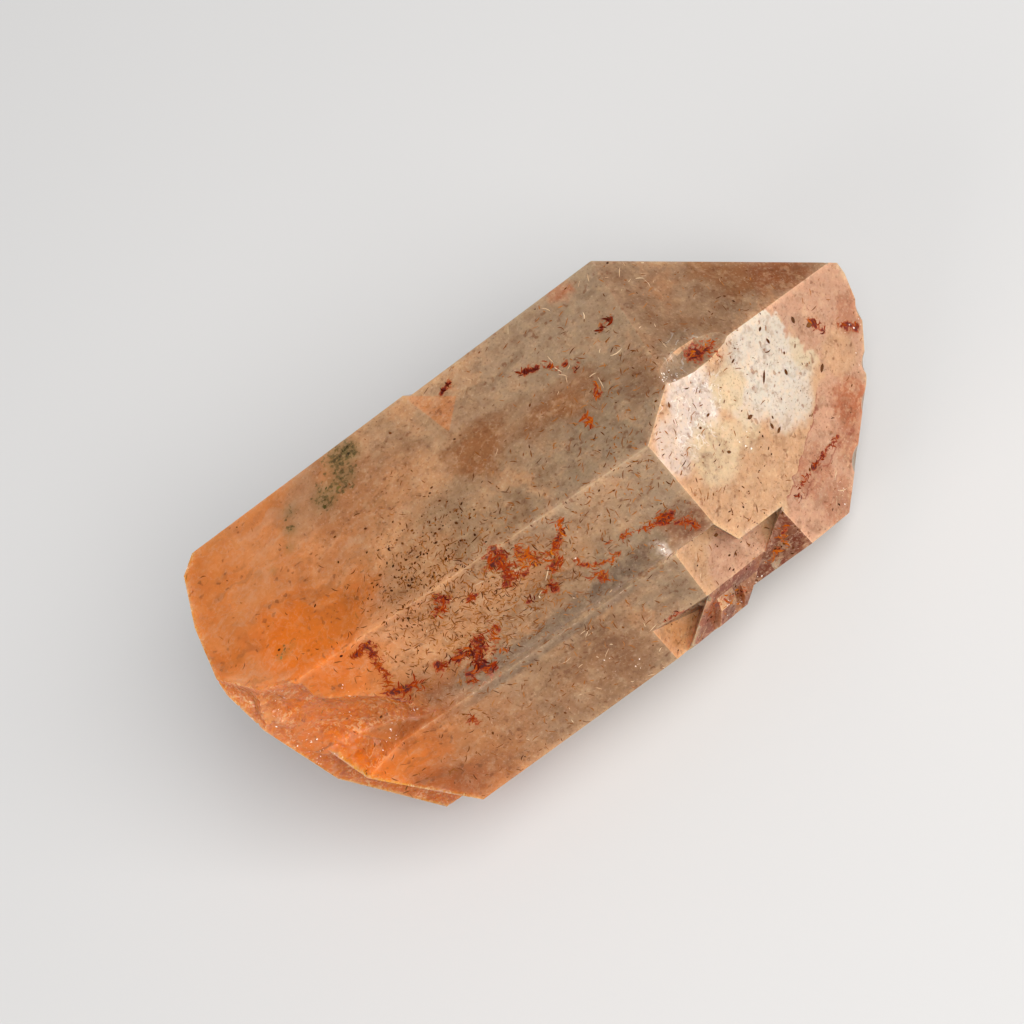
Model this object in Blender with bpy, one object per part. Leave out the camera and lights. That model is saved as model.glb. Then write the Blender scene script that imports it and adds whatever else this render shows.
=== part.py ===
"""Tangerine quartz point: one natural crystal lying on a prism face, tip towards +X."""

import math

import bmesh
import bpy
from mathutils import Matrix, Vector

MM = 0.001

# Driving dimensions
# The seed is the place in the crystal from which every face is measured
SEED = Vector((-0.20 * MM, -0.74 * MM, 17.6 * MM))
BLOCK = 240.0 * MM

# A crystal face is (turn about the long axis, tilt from the long axis, distance from the seed)
# Turns and tilts are in degrees, distances in millimetres. Turn 0 faces up, turn 90 faces -Y,
# and tilt 0 faces +X, the way the tip points

# The main crystal: six prism faces, 60 degrees apart
PRISM_TOP = (0.0, 89.5, 17.40)
PRISM_FRONT = (60.0, 92.0, 17.00)
PRISM_UNDER_FRONT = (120.0, 89.5, 18.95)
PRISM_REST = (180.0, 90.0, 17.60)
PRISM_UNDER_BACK = (240.0, 90.0, 20.70)
PRISM_BACK = (300.0, 90.0, 19.50)

# Its natural tip: six faces close to the 51.8 degrees that quartz always has,
# and a small broken facet at the very point
TIP_TOP = (1.0, 51.5, 25.15)
TIP_FRONT = (59.0, 51.0, 22.10)
TIP_UNDER_FRONT = (122.5, 44.0, 30.95)
TIP_REST = (180.0, 52.0, 27.70)
TIP_UNDER_BACK = (240.0, 52.0, 27.35)
TIP_BACK = (300.5, 53.5, 26.65)
TIP_BROKEN = (208.0, 32.0, 35.10)

# Its root, broken from the rock in several directions
ROOT_TOP_CORNER = (44.5, 128.5, 34.80)
ROOT_FRONT = (75.0, 107.5, 21.75)
ROOT_END = (337.0, 171.5, 39.75)
ROOT_END_BACK = (304.0, 163.5, 39.80)
ROOT_END_LOW = (108.5, 171.0, 37.50)
ROOT_BACK_CORNER = (292.0, 129.5, 35.55)
ROOT_UNDER = (159.5, 152.5, 33.60)

# The second crystal, grown parallel to the first, stands proud of it as a long strip
STRIP_FRONT = (60.0, 91.7, 17.45)
STRIP_UNDER_FRONT = (120.0, 89.5, 20.10)
STRIP_SIDE = (0.0, 90.3, 6.80)
STRIP_INSIDE = (270.0, 90.0, -8.00)
STRIP_REST = (180.0, 90.0, 16.40)
STRIP_ROOT = (148.0, 144.5, 28.25)
STRIP_ROOT_CORNER = (10.5, 101.3, 14.39)
STRIP_TIP = (59.0, 51.0, 21.70)
STRIP_END = (127.0, 53.5, 21.92)

# Growth steps and broken corners, each cut away outside its first faces
LOW_TIP_FACE = (61.5, 52.0, 19.25)
LOW_TIP_WALL = (119.5, 90.5, 13.45)
LOW_TIP_SIDE = (119.5, 90.5, 10.65)
LOW_TIP_END = (284.0, 26.0, 6.00)
NOTCH_END = (127.0, 53.5, 22.00)
NOTCH_OVERLAP = 0.12
CORNER_FACE = (90.0, 65.6, 22.10)
NOTCH_FACE = (62.5, 96.0, 10.95)
LEDGE_FACE = (300.0, 90.0, 19.00)
LEDGE_RISER = (300.5, 53.5, 12.50)
LOW_LEDGE_FACE = (240.0, 90.0, 20.25)
LOW_LEDGE_RISER = (240.0, 52.0, 9.00)
STRIP_NICK_FACE = (59.0, 51.0, 14.45)
STRIP_NICK_WALL = (108.0, 92.5, 17.90)
STRIP_NICK_END = (127.0, 53.5, 17.10)

# Stair steps along the broken corner below the tip: each has a tread that runs with the front
# tip face, a riser that runs with the corner face, and a start and an end along the corner
TREAD_TURN_TILT = (59.0, 51.0)
RISER_DEPTH = 0.75
ALONG_CORNER = (208.5, 43.5)
STAIRS = ((14.00, -9.0, 0.6), (18.10, 0.5, 3.2), (16.90, 3.1, 4.6), (17.85, 4.5, 9.6), (16.60, 9.5, 15.0))

# Chips: (name, place, facing, long axis, half length and half width, depth)
SCOOP_FINENESS = 4
RIM_ANGLE = 50.0
RIPPLES = 16
RIPPLE_SIZE = 0.010
TIP_EDGE = (0.73, 0.35, -0.58)
ALONG_C = (1.0, 0.0, 0.0)
ACROSS = (0.0, 0.7, -0.7)
UPRIGHT = (0.0, 0.0, 1.0)

# Shells broken out of the main crystal's root
ROOT_CHIPS = (
    ("root_front_scoop", (-29.5, -11.6, 8.6), (75.0, 107.5), ALONG_C, (6.5, 5.5), 0.6),
    ("root_front_scoop_high", (-32.6, -8.6, 15.6), (60.0, 115.0), ACROSS, (3.6, 3.0), 0.4),
    ("root_end_scoop", (-38.4, 0.0, 2.0), (110.0, 171.0), ACROSS, (13.0, 9.0), 1.5),
    ("root_end_scoop_back", (-35.8, 11.0, 2.0), (240.0, 160.0), ACROSS, (6.0, 4.5), 0.8),
    ("root_under_scoop", (-33.0, 4.0, -9.0), (160.0, 152.0), (0.0, 1.0, 0.0), (11.0, 6.0), 1.2),
)

# Flakes knocked off the tip's corner and its low ridge, and off the end of the strip
EDGE_CHIPS = (
    ("tip_corner_chip", (21.8, -3.0, 15.0), (27.0, 47.0), TIP_EDGE, (5.6, 2.1), 0.9),
    ("tip_corner_flake", (16.6, -5.8, 18.2), (30.0, 62.0), ACROSS, (3.4, 1.6), 0.35),
    ("point_flake", (38.9, 1.0, -4.6), (100.0, 25.0), ACROSS, (2.4, 1.4), 0.4),
    ("ridge_flake_high", (36.4, -3.2, -7.4), (100.0, 48.0), ACROSS, (2.8, 1.5), 0.5),
    ("ridge_flake_middle", (33.6, -6.6, -8.6), (100.0, 48.0), ACROSS, (2.0, 1.6), 0.4),
    ("ridge_flake_low", (29.4, -11.2, -9.6), (100.0, 48.0), ACROSS, (3.4, 1.8), 0.6),
    ("strip_root_scoop", (-22.0, -14.5, -11.5), (148.0, 144.5), UPRIGHT, (4.0, 3.0), 0.6),
)

# Cuts that end at the same wall are staggered by a hair, so that no two of their faces coincide
STAGGER = 0.015


def face_normal(turn, tilt):
    """Outward direction of a face, from its turn about and its tilt from the long axis."""
    turn, tilt = math.radians(turn), math.radians(tilt)
    ring = math.sin(tilt)
    return Vector((math.cos(tilt), -math.sin(turn) * ring, math.cos(turn) * ring))


def opposite(face):
    """The same plane with its other side taken as the outside."""
    turn, tilt, distance = face
    return (turn + 180.0, 180.0 - tilt, -distance)


def deeper(face, depth):
    """The same face moved towards the seed."""
    turn, tilt, distance = face
    return (turn, tilt, distance - depth)


def body_of_faces(name, faces):
    """A closed body: a large block from which everything outside each face is cut away."""
    mesh = bmesh.new()
    bmesh.ops.create_cube(mesh, size=BLOCK, matrix=Matrix.Translation(SEED))
    for turn, tilt, distance in faces:
        normal = face_normal(turn, tilt)
        everything = mesh.verts[:] + mesh.edges[:] + mesh.faces[:]
        bmesh.ops.bisect_plane(
            mesh,
            geom=everything,
            plane_co=SEED + normal * distance * MM,
            plane_no=normal,
            clear_outer=True,
        )
        rim = [edge for edge in mesh.edges if edge.is_boundary]
        bmesh.ops.edgeloop_fill(mesh, edges=rim)
    bmesh.ops.recalc_face_normals(mesh, faces=mesh.faces[:])
    data = bpy.data.meshes.new(name)
    mesh.to_mesh(data)
    mesh.free()
    body = bpy.data.objects.new(name, data)
    bpy.context.scene.collection.objects.link(body)
    return body


def make_cutter(body):
    """Marks a body as a cutter, which isn't part of the object."""
    body.hide_render = True
    body.display_type = "WIRE"
    return body


def combine(crystal, other, operation):
    """Adds a Boolean to the crystal."""
    modifier = crystal.modifiers.new(other.name, "BOOLEAN")
    modifier.operation = operation
    modifier.solver = "EXACT"
    modifier.object = other


def scoop(name, place, facing, along, reach, depth):
    """A shell-shaped chip: a rippled ellipsoid that bites a shallow oval out of a surface.

    place is in millimetres from the seed, facing is the turn and tilt of the surface there,
    along is the direction of the oval's long axis, reach is its half length and half width
    where it leaves the surface, and depth is how far it bites.
    """
    rim = math.radians(RIM_ANGLE)
    height = depth / (1 - math.cos(rim))
    normal = face_normal(*facing)
    along = Vector(along)
    along = (along - normal * along.dot(normal)).normalized()
    over = normal.cross(along)
    centre = SEED + Vector(place) * MM + normal * (height - depth) * MM
    length, width = reach[0] / math.sin(rim), reach[1] / math.sin(rim)
    axes = (along * length * MM, over * width * MM, normal * height * MM)
    mesh = bmesh.new()
    bmesh.ops.create_icosphere(mesh, subdivisions=SCOOP_FINENESS, radius=1.0)
    for vert in mesh.verts:
        x, y, z = vert.co
        ripple = 1 + RIPPLE_SIZE * math.sin(RIPPLES * math.acos(max(-1.0, min(1.0, x))))
        vert.co = centre + (axes[0] * x + axes[1] * y + axes[2] * z) * ripple
    data = bpy.data.meshes.new(name)
    mesh.to_mesh(data)
    mesh.free()
    body = bpy.data.objects.new(name, data)
    bpy.context.scene.collection.objects.link(body)
    return make_cutter(body)


def build():
    for thing in list(bpy.data.objects):
        bpy.data.objects.remove(thing, do_unlink=True)

    crystal = body_of_faces(
        "quartz_point",
        (
            PRISM_TOP, PRISM_FRONT, PRISM_UNDER_FRONT, PRISM_REST, PRISM_UNDER_BACK, PRISM_BACK,
            TIP_TOP, TIP_FRONT, TIP_UNDER_FRONT, TIP_REST, TIP_UNDER_BACK, TIP_BACK, TIP_BROKEN,
            ROOT_TOP_CORNER, ROOT_FRONT, ROOT_END, ROOT_END_BACK,
            ROOT_END_LOW, ROOT_BACK_CORNER, ROOT_UNDER,
        ),
    )
    strip = make_cutter(body_of_faces(
        "parallel_crystal",
        (
            STRIP_FRONT, STRIP_UNDER_FRONT, STRIP_SIDE, STRIP_INSIDE, STRIP_REST,
            STRIP_ROOT, STRIP_ROOT_CORNER, STRIP_TIP, STRIP_END,
        ),
    ))
    for chip in ROOT_CHIPS:
        combine(crystal, scoop(*chip), "DIFFERENCE")
    combine(crystal, strip, "UNION")

    corner_wall = opposite(deeper(LOW_TIP_WALL, -STAGGER))
    growth_steps = {
        "low_tip_step": (opposite(LOW_TIP_FACE), opposite(LOW_TIP_WALL), NOTCH_END),
        "low_tip_side": (opposite(deeper(LOW_TIP_FACE, STAGGER)), opposite(LOW_TIP_SIDE), LOW_TIP_END),
        "broken_corner": (opposite(CORNER_FACE), corner_wall, deeper(NOTCH_END, STAGGER)),
        "notch": (opposite(NOTCH_FACE), opposite(deeper(NOTCH_END, NOTCH_OVERLAP))),
        "back_ledge": (opposite(LEDGE_FACE), opposite(LEDGE_RISER)),
        "low_back_ledge": (opposite(LOW_LEDGE_FACE), opposite(LOW_LEDGE_RISER)),
        "strip_nick": (opposite(STRIP_NICK_FACE), opposite(STRIP_NICK_WALL), STRIP_NICK_END),
    }
    for number, (tread_at, start, end) in enumerate(STAIRS, 1):
        growth_steps[f"stair_{number}"] = (
            opposite((*TREAD_TURN_TILT, tread_at)),
            opposite(deeper(CORNER_FACE, RISER_DEPTH)),
            opposite((*ALONG_CORNER, start)),
            (*ALONG_CORNER, end),
            opposite(deeper(LOW_TIP_WALL, -STAGGER * (number + 1))),
            deeper(NOTCH_END, STAGGER * (number + 1)),
        )
    for name, faces in growth_steps.items():
        combine(crystal, make_cutter(body_of_faces(name, faces)), "DIFFERENCE")
    for chip in EDGE_CHIPS:
        combine(crystal, scoop(*chip), "DIFFERENCE")

    quartz = bpy.data.materials.new("tangerine_quartz")
    quartz.use_nodes = True
    shader = quartz.node_tree.nodes["Principled BSDF"]
    shader.inputs["Base Color"].default_value = (0.56, 0.26, 0.10, 1.0)
    shader.inputs["Roughness"].default_value = 0.22
    shader.inputs["Metallic"].default_value = 0.0
    shader.inputs["IOR"].default_value = 1.544
    shader.inputs["Transmission Weight"].default_value = 0.5
    crystal.data.materials.append(quartz)


build()
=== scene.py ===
"""Looks of the tangerine quartz point: the crystal and what grew in it, on a pale floor."""

import math

import bmesh
import bpy
import numpy as np
from mathutils import Matrix, Vector
from mathutils.bvhtree import BVHTree


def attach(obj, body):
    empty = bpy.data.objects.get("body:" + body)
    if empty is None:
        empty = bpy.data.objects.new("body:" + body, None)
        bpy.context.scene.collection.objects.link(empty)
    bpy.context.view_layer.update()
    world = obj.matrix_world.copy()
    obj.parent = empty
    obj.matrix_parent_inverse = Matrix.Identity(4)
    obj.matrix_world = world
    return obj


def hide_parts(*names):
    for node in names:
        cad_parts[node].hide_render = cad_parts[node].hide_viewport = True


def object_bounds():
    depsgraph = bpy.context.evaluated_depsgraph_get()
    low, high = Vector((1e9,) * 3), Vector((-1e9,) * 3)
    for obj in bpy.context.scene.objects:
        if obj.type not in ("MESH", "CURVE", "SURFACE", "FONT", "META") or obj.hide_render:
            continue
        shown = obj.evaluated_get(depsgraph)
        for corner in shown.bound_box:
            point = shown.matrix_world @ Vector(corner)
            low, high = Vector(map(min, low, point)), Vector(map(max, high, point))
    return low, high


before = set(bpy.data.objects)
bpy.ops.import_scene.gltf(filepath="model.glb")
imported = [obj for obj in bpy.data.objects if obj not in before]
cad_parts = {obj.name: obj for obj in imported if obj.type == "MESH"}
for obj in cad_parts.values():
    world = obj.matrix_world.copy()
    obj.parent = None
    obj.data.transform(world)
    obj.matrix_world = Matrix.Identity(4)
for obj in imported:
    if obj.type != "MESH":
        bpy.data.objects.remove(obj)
cad_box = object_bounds()


# The camera
# It looks down on the lying crystal from a hand's height, turned so that the tip points up and
# to the right. An 85 mm lens on a 36 mm sensor, a quarter of a metre away.

MM = 0.001
CAMERA_AZIMUTH = math.radians(15.568)
CAMERA_ELEVATION = math.radians(58.146)
CAMERA_ROLL = math.radians(49.58)
CAMERA_DISTANCE = 252.144 * MM
LOOK_AT = Vector((-3.042, -4.591, 29.605)) * MM
LENS = 85.0
SENSOR = 36.0
PICTURE = 1024

view_back = Vector((
    math.sin(CAMERA_AZIMUTH) * math.cos(CAMERA_ELEVATION),
    -math.cos(CAMERA_AZIMUTH) * math.cos(CAMERA_ELEVATION),
    math.sin(CAMERA_ELEVATION),
))
level_right = Vector((math.cos(CAMERA_AZIMUTH), math.sin(CAMERA_AZIMUTH), 0.0))
level_up = view_back.cross(level_right)
view_right = level_right * math.cos(CAMERA_ROLL) - level_up * math.sin(CAMERA_ROLL)
view_up = level_right * math.sin(CAMERA_ROLL) + level_up * math.cos(CAMERA_ROLL)
eye = LOOK_AT + view_back * CAMERA_DISTANCE

lens_data = bpy.data.cameras.new("photo_camera")
lens_data.lens = LENS
lens_data.sensor_width = SENSOR
lens_data.clip_start = 0.01
camera = bpy.data.objects.new("photo_camera", lens_data)
bpy.context.scene.collection.objects.link(camera)
turned = Matrix((view_right, view_up, view_back)).transposed().to_4x4()
camera.matrix_world = Matrix.Translation(eye) @ turned
bpy.context.scene.camera = camera


# The crystal
# One natural quartz point: flat growth faces, a stepped corner below the tip and a root that
# was broken from the rock. It is clear quartz, clouded white near the tip and stained orange
# by iron near the root, so it lets light through and yet shows its colours. Some light and
# shade is painted into those colours too: painted shade on the upper tip face, the steep faces
# of the steps and the foot of the strip, a painted sheen on the front tip face, and painted
# highlights on the edges and the root.

CRYSTAL_CELLS = 8
CELL_FILL = 0.80
QUARTZ_INDEX = 1.544
PALE_TINT = (255, 244, 230)
TINT_SHARE = 0.42


def fine_copy(node, name):
    """A copy of a node's mesh, merged and rebuilt as small even cells that keep its creases,
    with every corner moved back to the nearest place on the node's own faces."""
    data = node.data.copy()
    merged = bmesh.new()
    merged.from_mesh(data)
    bmesh.ops.remove_doubles(merged, verts=merged.verts, dist=1e-6)
    faces = BVHTree.FromBMesh(merged)
    merged.to_mesh(data)
    merged.free()
    piece = bpy.data.objects.new(name, data)
    bpy.context.scene.collection.objects.link(piece)
    cells = piece.modifiers.new("cells", "REMESH")
    cells.mode = "SHARP"
    cells.octree_depth = CRYSTAL_CELLS
    cells.scale = CELL_FILL
    cells.sharpness = 1.0
    ready = piece.evaluated_get(bpy.context.evaluated_depsgraph_get())
    fine = bpy.data.meshes.new_from_object(ready)
    piece.modifiers.clear()
    piece.data = fine
    for vert in fine.vertices:
        vert.co = faces.find_nearest(vert.co)[0]
    return piece


def corner_array(mesh, field, width):
    """One field of all the mesh's vertices as an array with a row for each vertex."""
    values = np.empty(len(mesh.vertices) * width, np.float32)
    mesh.vertices.foreach_get(field, values)
    return values.reshape(-1, width).astype(float)


def smooth_step(values, low, high):
    """Zero below low, one above high, and three t squared less two t cubed in between."""
    t = np.clip((values - low) / (high - low), 0.0, 1.0)
    return t * t * (3.0 - 2.0 * t)


def shell_distance(places, centres):
    """The distance from each place to the nearest of the centres."""
    gaps = places[:, None, :] - centres[None, :, :]
    return np.sqrt((gaps ** 2).sum(2).min(1))


crystal = fine_copy(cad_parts["quartz_point"], "quartz_crystal")

# How sharp the crystal is at each corner of its mesh, spread a little to both sides: worn
# edges are paler, partly from wear and partly as a painted highlight along them
mesh = crystal.data
corner_of = np.empty(len(mesh.loops), np.int32)
mesh.loops.foreach_get("vertex_index", corner_of)
corners_each = np.empty(len(mesh.polygons), np.int32)
mesh.polygons.foreach_get("loop_total", corners_each)
facets_out = np.empty(len(mesh.polygons) * 3, np.float32)
mesh.polygons.foreach_get("normal", facets_out)
facets_out = np.repeat(facets_out.reshape(-1, 3), corners_each, axis=0)
mean_out = np.zeros((len(mesh.vertices), 3))
np.add.at(mean_out, corner_of, facets_out)
mean_out /= np.linalg.norm(mean_out, axis=1)[:, None]
turn = np.zeros(len(mesh.vertices))
np.maximum.at(turn, corner_of, 1.0 - (facets_out * mean_out[corner_of]).sum(1))
sharp = smooth_step(turn, 0.02, 0.12)
ends = np.empty(len(mesh.edges) * 2, np.int32)
mesh.edges.foreach_get("vertices", ends)
ends = ends.reshape(-1, 2)
for _ in range(2):
    spread = sharp.copy()
    np.maximum.at(spread, ends[:, 0], sharp[ends[:, 1]] * 0.45)
    np.maximum.at(spread, ends[:, 1], sharp[ends[:, 0]] * 0.45)
    sharp = spread
mesh.attributes.new("edge_wear_and_highlight", "FLOAT", "POINT").data.foreach_set("value", sharp.astype(np.float32))

# The broken root: round shells of three sizes bite inwards from the CAD faces that look back
# along the crystal, and the largest have ripples, as broken glass has. They fade out
# towards the rims, which stay sharp
rng = np.random.default_rng(5)
places = corner_array(mesh, "co", 3)
outward = corner_array(mesh, "normal", 3)
broken = smooth_step(-outward[:, 0], 0.10, 0.26) * smooth_step(-places[:, 0], 15.0 * MM, 20.0 * MM)
at_root = np.flatnonzero(broken > 0.0)
root_places = places[at_root]
bite = np.zeros(len(at_root))
for shell_size, shell_depth, shell_count in ((5.5, 0.55, 46), (2.4, 0.24, 240), (1.3, 0.10, 700)):
    middle = root_places[rng.choice(len(root_places), shell_count, replace=False)]
    away = shell_distance(root_places, middle) / (shell_size * MM)
    bite += shell_depth * MM * np.clip(1.0 - away ** 2, 0.0, 1.0)
    if shell_size > 5.0:
        bite += 0.025 * MM * (1.0 + np.sin(away * 38.0)) * np.clip(1.0 - away, 0.0, 1.0)
rim = sharp.copy()
for _ in range(4):
    spread = rim.copy()
    np.maximum.at(spread, ends[:, 0], rim[ends[:, 1]] * 0.78)
    np.maximum.at(spread, ends[:, 1], rim[ends[:, 0]] * 0.78)
    rim = spread
bite *= 1.0 - rim[at_root]
places[at_root] -= outward[at_root] * (bite * broken[at_root])[:, None]
mesh.vertices.foreach_set("co", places.astype(np.float32).ravel())
mesh.update()
broken_now = np.zeros(len(mesh.vertices), np.float32)
broken_now[at_root] = broken[at_root]
mesh.attributes.new("broken", "FLOAT", "POINT").data.foreach_set("value", broken_now)

crystal_skin = BVHTree.FromPolygons(
    [tuple(place) for place in places],
    [tuple(face.vertices) for face in mesh.polygons],
)


def sight(x, y):
    """The direction from the camera to a pixel of its 1024 by 1024 picture."""
    focal = LENS / SENSOR * PICTURE
    half = PICTURE / 2
    ray = view_right * ((x - half) / focal) + view_up * ((half - y) / focal) - view_back
    return ray.normalized()


def seen(x, y):
    """The place on the crystal, and the way it faces there, that the camera sees at a pixel."""
    place, facing, index, distance = crystal_skin.ray_cast(eye, sight(x, y))
    return place, facing


def face_way(turn, tilt):
    """Outward direction of a crystal face, from its turn about the long axis (0 is up, 90 is
    the front) and its tilt from that axis, in degrees."""
    turn, tilt = math.radians(turn), math.radians(tilt)
    ring = math.sin(tilt)
    return (math.cos(tilt), -math.sin(turn) * ring, math.cos(turn) * ring)


def paint(red, green, blue):
    """A colour written as a screen shows it, 0 to 255, turned into light."""
    shown = np.array((red, green, blue)) / 255.0
    light = np.where(shown <= 0.04045, shown / 12.92, ((shown + 0.055) / 1.055) ** 2.4)
    return (*light.tolist(), 1.0)


class Wire:
    """The output of a node. + - and * on it add Math nodes, and node() adds any other."""

    def __init__(self, tree, link=None):
        self.tree = tree
        self.link = link

    def node(self, kind, settings, values, output=0):
        """Adds a node: first its settings, then the values or wires of its sockets."""
        made = self.tree.nodes.new("ShaderNode" + kind)
        for name, value in settings.items():
            setattr(made, name, value)
        for name, value in values.items():
            if isinstance(value, Wire):
                self.tree.links.new(value.link, made.inputs[name])
            else:
                made.inputs[name].default_value = value
        return Wire(self.tree, made.outputs[output])

    def math(self, operation, first, second):
        return self.node("Math", {"operation": operation}, {0: first, 1: second})

    def __add__(self, other):
        return self.math("ADD", self, other)

    def __radd__(self, other):
        return self.math("ADD", other, self)

    def __sub__(self, other):
        return self.math("SUBTRACT", self, other)

    def __rsub__(self, other):
        return self.math("SUBTRACT", other, self)

    def __mul__(self, other):
        return self.math("MULTIPLY", self, other)

    def __rmul__(self, other):
        return self.math("MULTIPLY", other, self)

    def highest(self, other):
        return self.math("MAXIMUM", self, other)

    def absolute(self):
        return self.math("ABSOLUTE", self, 0.0)

    def sine(self):
        return self.math("SINE", self, 0.0)

    def vector(self, operation, first, second, output=0):
        return self.node("VectorMath", {"operation": operation}, {0: first, 1: second}, output)

    def rise(self, low, high, most=1.0):
        """Zero below low and most above high, eased between them, or falling if low is higher."""
        start, end, first, last = (low, high, 0.0, most) if low < high else (high, low, most, 0.0)
        return self.node(
            "MapRange",
            {"interpolation_type": "SMOOTHSTEP"},
            {"Value": self, "From Min": start, "From Max": end, "To Min": first, "To Max": last},
        )

    def noise(self, place, size, detail=3.0, rough=0.55, output=0):
        """Cloudy noise whose lumps are about size metres across."""
        return self.node(
            "TexNoise",
            {},
            {"Vector": place, "Scale": 1.0 / size, "Detail": detail, "Roughness": rough},
            output,
        )

    def layer(self, below, above, cover):
        """One colour over another, where cover is one."""
        return self.node("Mix", {"data_type": "RGBA"}, {0: cover, 6: below, 7: above}, output=2)

    def blend(self, below, above, cover):
        """One number in place of another, where cover is one."""
        return self.node("Mix", {"data_type": "FLOAT"}, {0: cover, 2: below, 3: above})


def new_finish(name):
    """An empty Principled material and the first wire of its tree."""
    made = bpy.data.materials.new(name)
    made.use_nodes = True
    return made, made.node_tree.nodes["Principled BSDF"], Wire(made.node_tree)


quartz, clear_shader, start = new_finish("tangerine_quartz")
here = start.node("TexCoord", {}, {}, "Object")
out = start.node("NewGeometry", {}, {}, "True Normal")
edge_wear_and_highlight = start.node("Attribute", {"attribute_name": "edge_wear_and_highlight"}, {}, "Fac")
root_break = start.node("Attribute", {"attribute_name": "broken"}, {}, "Fac")
rust = start.node("Attribute", {"attribute_name": "rust"}, {}, "Fac")
moss_haze = start.node("Attribute", {"attribute_name": "moss"}, {}, "Fac")

# Places are shifted by noise before a stain is laid, so that no stain has a round outline
wide_drift = start.noise(here, 7 * MM, detail=1.0, output=1)
wide_drift = start.vector("SUBTRACT", wide_drift, (0.5, 0.5, 0.5))
wide_drift = start.vector("MULTIPLY", wide_drift, (8 * MM, 5 * MM, 5 * MM))
fine_drift = start.noise(here, 1.9 * MM, detail=2.0, rough=0.66, output=1)
fine_drift = start.vector("SUBTRACT", fine_drift, (0.5, 0.5, 0.5))
fine_drift = start.vector("MULTIPLY", fine_drift, (3.0 * MM, 2.6 * MM, 2.6 * MM))
ragged = start.vector("ADD", here, fine_drift)
stirred = start.vector("ADD", ragged, wide_drift)
along = start.node("SeparateXYZ", {}, {0: stirred}, 0)
cloud = start.noise(stirred, 7 * MM, detail=3.0, rough=0.62)
mottle = start.noise(here, 1.4 * MM, detail=2.0, rough=0.70)
grain = start.noise(here, 0.32 * MM, detail=2.0, rough=0.7)
drawn = start.vector("MULTIPLY", stirred, (0.16, 1.0, 1.0))
streaks = start.noise(drawn, 1.5 * MM, detail=1.0)

DRAWN_OUT = (0.5, 1.0, 1.0)
halved = start.vector("MULTIPLY", stirred, DRAWN_OUT)


def face_mask(turn, tilt, spread=0.02):
    """One on the crystal faces that look the given way."""
    same = start.vector("DOT_PRODUCT", out, face_way(turn, tilt), 1)
    return same.rise(1.0 - spread, 1.0 - spread * 0.3)


def stain(x, y, size, soft=0.30, where=stirred, most=1.0):
    """As much as most round the place that the camera sees at a pixel, fading out at size
    millimetres."""
    far = start.vector("DISTANCE", where, tuple(seen(x, y)[0]), 1)
    return far.rise(size * MM, size * soft * MM, most)


def long_stain(x, y, size, most):
    """The same for a stain drawn out to twice its size along the crystal."""
    place = seen(x, y)[0] * Vector(DRAWN_OUT)
    return start.vector("DISTANCE", halved, tuple(place), 1).rise(size * MM, size * 0.30 * MM, most)


def right_of(x, y, far_x, far_y, soft=0.25, where=ragged):
    """One to the right of the line that the camera sees from one pixel to another."""
    normal = sight(x, y).cross(sight(far_x, far_y)).normalized()
    from_eye = start.vector("SUBTRACT", where, tuple(eye))
    return start.vector("DOT_PRODUCT", from_eye, tuple(normal), 1).rise(-soft * MM, soft * MM)


def thread(x, y, far_x, far_y, wide=0.10):
    """One on a thin crack that the camera sees from one pixel to another."""
    normal = sight(x, y).cross(sight(far_x, far_y)).normalized()
    from_eye = start.vector("SUBTRACT", ragged, tuple(eye))
    off = start.vector("DOT_PRODUCT", from_eye, tuple(normal), 1)
    line = off.absolute().rise(wide * MM, wide * 0.3 * MM)
    middle_x, middle_y = (x + far_x) / 2, (y + far_y) / 2
    half = (seen(x, y)[0] - seen(far_x, far_y)[0]).length / 2 / MM
    return line * stain(middle_x, middle_y, half * 1.05, soft=0.9, where=here)


# What the quartz holds: the colour of each cloud or stain, and how milky it is, 0 to 1
TANGERINE = (224, 114, 4), 0.76
AMBER = (218, 122, 42), 0.66
PEACH = (220, 154, 100), 0.68
TAN = (194, 152, 112), 0.54
SMOKE = (186, 156, 124), 0.50
CLEAR = (158, 130, 104), 0.42
BROWN = (160, 96, 44), 0.58
HONEY = (138, 62, 4), 0.60
RESIN = (130, 50, 0), 0.88
COPPER = (104, 38, 0), 0.90
MILK = (208, 196, 180), 0.92
PEARL = (214, 196, 182), 0.94
CREAM = (212, 188, 152), 0.86
APRICOT = (208, 160, 118), 0.78
CLAY = (208, 156, 124), 0.74
BRICK = (172, 90, 46), 0.76


def covered(look, kind, mask):
    """A look, which is a colour and a milkiness, with a stain of some kind where mask is one."""
    below, milk_below = look
    shown, milky = kind
    return start.layer(below, paint(*shown), mask), start.blend(milk_below, milky, mask)


look = covered((paint(*AMBER[0]), AMBER[1]), TAN, along.rise(-32 * MM, -6 * MM))
look = covered(look, SMOKE, along.rise(-8 * MM, 14 * MM))
look = covered(look, PEACH, cloud.rise(0.50, 0.68) * 0.40)
look = covered(look, BROWN, cloud.rise(0.46, 0.30) * 0.35)
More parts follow.
